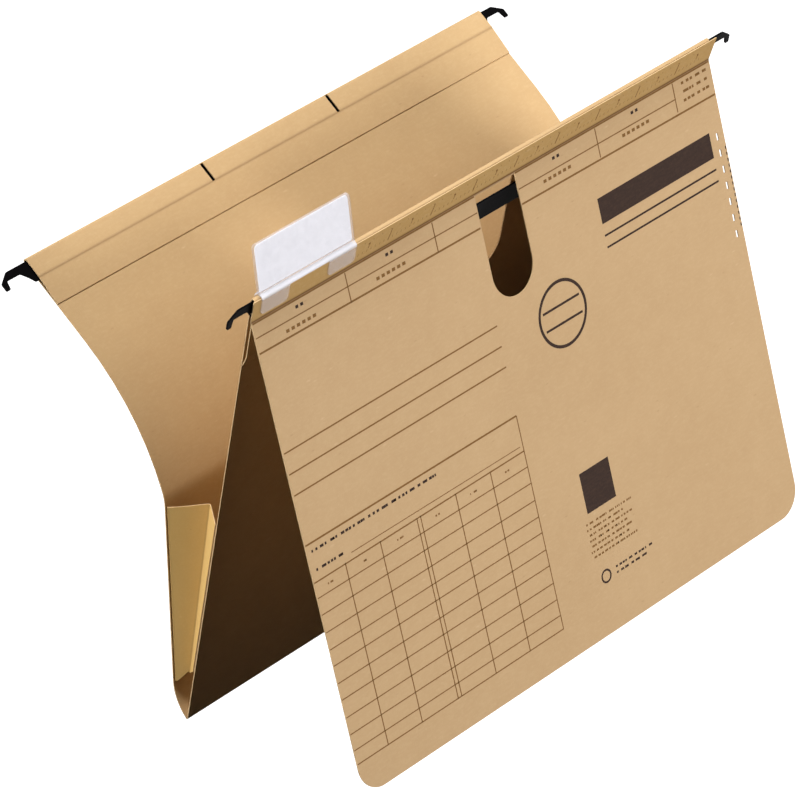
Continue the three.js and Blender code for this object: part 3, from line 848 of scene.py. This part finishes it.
def smooth_line(corners, spacing, easing):
    """A line through corners, each eased by a curve that leaves it easing before and after,
    and the whole resampled evenly."""
    corners = np.array(corners)
    inner = corners[1:-1]
    first, last = (
        inner + side * np.minimum(easing / np.linalg.norm(side, axis=1), 0.45)[:, None]
        for side in (corners[:-2] - inner, corners[2:] - inner))
    line = np.concatenate([corners[:1], eased(first, inner, last, 9), corners[-1:]])
    walked = np.concatenate([[0], np.cumsum(np.linalg.norm(np.diff(line, axis=0), axis=1))])
    even = np.linspace(0, walked[-1], max(8, round(walked[-1] / spacing)))
    return np.stack([np.interp(even, walked, line[:, i]) for i in (0, 1)], -1)


def milky_plastic():
    """Milky clear plastic: pale, half see-through, glossy, with faint scuffs, whiter where bent."""
    material, tree = fresh_material("milky_plastic")
    where = add_node(tree, "TexCoord").outputs["Object"]
    scuff = noise_on(tree, where, 300.0, 4.0)
    bent = add_node(tree, "Attribute", attribute_name="crease").outputs["Fac"]
    haze = calculate(tree, "MULTIPLY_ADD", bent, 0.5, spread(tree, scuff, 0.0, 1.0, 0.13, 0.21))
    shader = add_node(tree, "BsdfPrincipled", {
        "Base Color": paint(240, 240, 248), "Roughness": spread(tree, scuff, 0.0, 1.0, 0.14, 0.3),
        "Alpha": haze, "IOR": 1.46,
    })
    add_node(tree, "OutputMaterial", {"Surface": shader.outputs[0]})
    return material


def card_material():
    """Smooth white index card, with the faintest mottle of its pulp."""
    material, tree = fresh_material("white_card")
    where = add_node(tree, "TexCoord").outputs["Object"]
    pulp = noise_on(tree, where, 240.0, 4.0)
    tone = blend_colour(tree, pulp, paint(252, 250, 252), paint(245, 243, 247))
    coat(tree, tone, 0.6, 0.5, pulp, 0.2, 0.00005)
    return material


half = tab_slot / 2 + tab_wall / 2
section = smooth_line([
    on_wall(foot_bottom, foot_front + tab_wall / 2),
    on_wall(saddle_top - tab_wall / 2, foot_front + tab_wall / 2),
    on_tab(tab_neck, half),
    on_tab(tab_height - tab_wall / 2, half),
    on_tab(tab_height - tab_wall / 2, -half),
    on_tab(tab_neck, -half),
    on_wall(saddle_top - tab_wall / 2, foot_back - tab_wall / 2),
    on_wall(foot_bottom, foot_back - tab_wall / 2),
], spacing=0.45, easing=0.8)
tangent = np.gradient(section, axis=0)
tangent /= np.linalg.norm(tangent, axis=1, keepdims=True)
height_on_tab = (section - tab_base) @ way(tab_up)
height_on_wall = (section - wall_fold) @ way(wall_up)
past_corner = np.clip(height_on_tab - (tab_height - tab_corner), 0, tab_corner - 0.02)
inset = tab_corner - np.sqrt(tab_corner**2 - past_corner**2)
past_foot = np.clip(foot_bottom + foot_corner - height_on_wall, 0, foot_corner - 0.05)
foot_round = (foot_corner - np.sqrt(foot_corner**2 - past_foot**2))[:, None]
edges = [tab_left, tab_left + foot_width, tab_right - foot_width, tab_right]
columns = np.unique(np.concatenate([
    np.linspace(edges[i], edges[i + 1], 9) for i in range(3)]).round(5))
middle = (tab_left + tab_right) / 2
squeeze = 1 - inset[:, None] / ((tab_right - tab_left) / 2)
x_grid = middle + (columns[None] - middle) * squeeze
foot_middle = np.where(columns < middle, edges[0] + edges[1], edges[2] + edges[3])[None] / 2
in_foot = abs(columns[None] - foot_middle) <= foot_width / 2 + 0.01
foot_columns = foot_middle + (columns[None] - foot_middle) * (1 - foot_round / (foot_width / 2))
x_grid = np.where(in_foot & (foot_round > 0), foot_columns, x_grid)
points = np.stack([x_grid, *(np.repeat(section[:, i:i + 1], len(columns), 1) for i in (0, 1))], -1)
normals = np.stack([np.zeros(len(section)), -tangent[:, 1], tangent[:, 0]], -1)
normals = np.repeat(normals[:, None], len(columns), 1)
between_feet = quads_between(height_on_wall, columns, edges[1], edges[2], -math.inf, crest_height)
on_shoulder = np.clip(1 - abs(height_on_wall - saddle_top + 0.2) / 1.6, 0, 1)
stress_white = np.repeat(on_shoulder[:, None], len(columns), 1)
tab_plastic = milky_plastic()
tab_sleeve = make_sheet(
    "tab_sleeve", points, normals, lattice(len(section), len(columns), between_feet), tab_wall,
    [tab_plastic], stress_white,
)
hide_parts("tab_holder")
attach(tab_sleeve, "tab")

out_grid, x_grid = np.meshgrid(
    np.linspace(foot_back, foot_front, 7),
    np.linspace(tab_left + tab_gap, tab_right - tab_gap, 5), indexing="ij")
saddle = on_wall(saddle_top - tab_wall / 2, out_grid[..., None])
points = np.concatenate([x_grid[..., None], saddle], -1)
normals = np.zeros(points.shape)
normals[..., 1:] = way(wall_up)
tab_saddle = make_sheet(
    "tab_saddle", points, normals, lattice(7, 5)[:, ::-1], tab_wall, [tab_plastic])
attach(tab_saddle, "tab")

card_left, card_right = tab_left + card_inset, tab_right - card_inset
quarter = np.linspace(0, np.pi / 2, 9)
aside, below = tab_corner * (1 - np.cos(quarter)), tab_corner * (1 - np.sin(quarter))
card_outline = np.concatenate([
    [[card_left, 0], [card_right, 0]],
    np.stack([card_right - aside, card_height - below], -1),
    np.stack([card_left + below, card_height - aside], -1),
])
card = make_plate(
    "index_card", card_outline, card_thickness, card_base, tab_up, card_material(), card_bevel)
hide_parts("label_card")
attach(card, "label")

# Printing: dark and light brown ink on the cover and on the strip above its crease. There are
# ruled lines, an index strip, a table for dates, a ring for a date stamp, plain solid fields
# and rows of short strokes. The rule just under the cover's crease is painted shade of the fold.

ink_proud, ink_film = 0.03, 0.05


def strokes(ends, width):
    """Straight strokes as quads. Each has two ends as x, y, x, y and half the width on each side,
    square to its way."""
    ends = np.array(ends, float).reshape(-1, 4)
    start, stop = ends[:, :2], ends[:, 2:]
    along = (stop - start) / np.linalg.norm(stop - start, axis=1, keepdims=True)
    side = np.stack([-along[:, 1], along[:, 0]], -1) * width / 2
    return np.stack([start - side, stop - side, stop + side, start + side], 1)


def ring(centre, inner, outer, steps):
    """A ring as quads between two circles."""
    turn = np.linspace(0, 2 * np.pi, steps + 1)
    circle = np.stack([np.cos(turn), np.sin(turn)], -1)
    inside, outside = centre + inner * circle, centre + outer * circle
    return np.stack([inside[:-1], outside[:-1], outside[1:], inside[1:]], 1)


def small_print(left, right, z, height, seed):
    """A row of short strokes with uneven gaps, as small print looks from afar."""
    source = np.random.default_rng(seed)
    steps = source.uniform(1.1, 3.0, 200) * height
    starts = left + np.cumsum(steps)
    widths = steps * source.uniform(0.45, 0.8, 200)
    keep = starts + widths < right
    starts, widths = starts[keep], widths[keep]
    level = np.full(len(starts), z)
    return strokes(np.stack([starts, level, starts + widths, level], -1), height)


def print_piece(name, quads, heading, body, ink):
    """Lays flat quads, x along the rail and y up the board, as a thin film of ink on a board
    whose middle plane runs through the cover's crease along heading."""
    quads = np.concatenate(quads)
    flat = quads.reshape(-1, 2)
    out = left_of(heading)
    lift = board_thickness / 2 + ink_proud - ink_film / 2
    level = cover_fold + flat[:, 1:] * way(heading) + lift * out
    points = np.concatenate([flat[:, :1], level], 1)
    faces = np.arange(len(points)).reshape(-1, 4)
    turned = np.cross(quads[:, 1] - quads[:, 0], quads[:, 2] - quads[:, 0]) < 0
    faces[turned] = faces[turned][:, ::-1]
    normals = np.tile([0, *out], (len(points), 1))
    piece = make_sheet(name, points, normals, faces, ink_film, [ink])
    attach(piece, body)


def ink_material(name, colour, thin_colour):
    """Brown printing ink soaked into board: thinner where the pulp stands proud."""
    material, tree = fresh_material(name)
    pulp = add_node(tree, "Group", node_tree=kraft_group).outputs
    thin = spread(tree, pulp["Fibre"], 0.42, 0.75, 0.0, 0.35)
    tone = blend_colour(tree, thin, colour, thin_colour)
    coat(tree, tone, 0.62, 0.08, pulp["Height"], 0.3, 0.0001)
    return material


dark_ink = ink_material("dark_ink", paint(50, 36, 30), paint(84, 62, 48))
line_ink = ink_material("line_ink", paint(122, 86, 46), paint(150, 116, 74))
table_left, table_right = -159.6, -14.5
title_line, title_double, header_line = -111.0, -126.3, -129.2
table_rows = [-137.5, -146, -155, -163.7, -172, -181, -189.5, -198.7, -207.4, -215.8]
table_bottom = -223.0
column_lines = [-138.6, -115.0, -89.9, -87.4, -63.0, -38.6]
hole_left, hole_right = finger_left - 0.6, finger_right + 0.6
cell_lines = [-99.0, -40.0, 75.0, 132.0]
header_cells = [-130, -70, 46, 103]
lines = [
    # The rule just under the cover's crease paints the fold's shadow line in ink.
    strokes([(-159.4, -1.0, hole_left + 0.2, -1.0), (hole_right - 0.2, -1.0, 159.4, -1.0)], 0.8),
    strokes([(-159.4, -8, hole_left, -9), (hole_right, -9.3, 132, -9.8)], 0.6),
    strokes([(-159.4, -15.5, hole_left, -16.7), (hole_right, -16.9, 159.4, -18)], 0.95),
    strokes([(x, -1.6, x, -16.5) for x in cell_lines], 0.65),
    strokes([(-159, z, -14, z) for z in (-65, -75.5, -86)], 0.75),
    strokes([(table_left, title_line, table_right, title_line)], 0.9),
    strokes([(-133.5, title_double, table_right - 2, title_double)], 0.42),
    strokes([(table_left, header_line - 0.6, table_right, header_line)], 0.7),
    strokes([(table_left, z, table_right, z) for z in table_rows], 0.55),
    strokes([(table_left, table_bottom, table_right, table_bottom)], 0.6),
    strokes([(x, header_line, x, table_bottom) for x in column_lines], 0.6),
    strokes([(table_right, title_line, table_right, table_bottom)], 0.55),
]
for number, x in enumerate((-149, -126, -102, -76, -51, -27)):
    lines.append(small_print(x - 4, x + 3, -133.6, 0.9, 30 + number))
for x in header_cells:
    starts = x + np.array([-11, -7.5, -4, -0.5, 3, 6.5])
    lines.append(strokes([(start, -12.4, start + 2.1, -12.5) for start in starts], 1.6))
for number, z in enumerate((-3.9, -8.2, -12.6)):
    lines.append(small_print(134.5, 157.5, z, 1.35, 50 + number))
for number in range(7):
    z = -182 - 2.9 * number
    lines.append(small_print(12.7, 47.7 - 5 * (number % 2), z, 1.0, 70 + number))
print_piece("cover_rulings", lines, math.radians(90), "cover", line_ink)

stamp = np.array([29.2, -77.2])
bars = [
    small_print(-158.5, -68, -115, 1.3, 11),
    small_print(-158.5, -134, -124.4, 1.3, 12),
    strokes([(67, -41, 150, -41)], 13),
    strokes([(67, -53.5, 150, -53.5), (67, -59.5, 150, -59.5)], 1.0),
    ring(stamp, 15.2, 16.8, 48),
    strokes([(*(stamp + (-13, z)), *(stamp + (13, z))) for z in (4.5, -4.5)], 1.2),
    strokes([(17, -166.5, 38, -166.5)], 21),
    ring(np.array([20.5, -211.5]), 2.6, 3.6, 28),
    small_print(26, 56, -210, 1.1, 90),
    small_print(26, 50, -213, 1.1, 91),
    strokes([(159.3, z, 159.3, z - 1.6) for z in np.arange(-45, -88, -3.1)], 0.7),
]
for x in header_cells:
    bars.append(strokes([(x - 2.4, -4.2, x - 0.6, -4.2), (x + 0.8, -4.2, x + 2.6, -4.2)], 1.5))
print_piece("cover_bars", bars, math.radians(90), "cover", dark_ink)

scale_step = 29.1
scale_film = [
    strokes([(x, 8.8, x - 2.3, 2.9) for x in np.arange(-67.8, 150, scale_step)], 0.5),
    strokes([(x, 7.3, x + 1.1, 7.3) for x in np.arange(-83.6, 150, scale_step)], 1.1),
    strokes([(x, 6.6, x - 0.6, 5.0) for x in np.arange(-83.2, 150, scale_step)], 0.4),
    strokes([(x, 4.6, x - 0.4, 3.4) for x in np.arange(-93, 152, scale_step / 10)], 0.22),
    strokes([(x, 9.2, x - 0.2, 8.6) for x in np.arange(-92, 152, scale_step / 5)], 0.22),
]
print_piece("scale_printing", scale_film, wall_up, "front", line_ink)
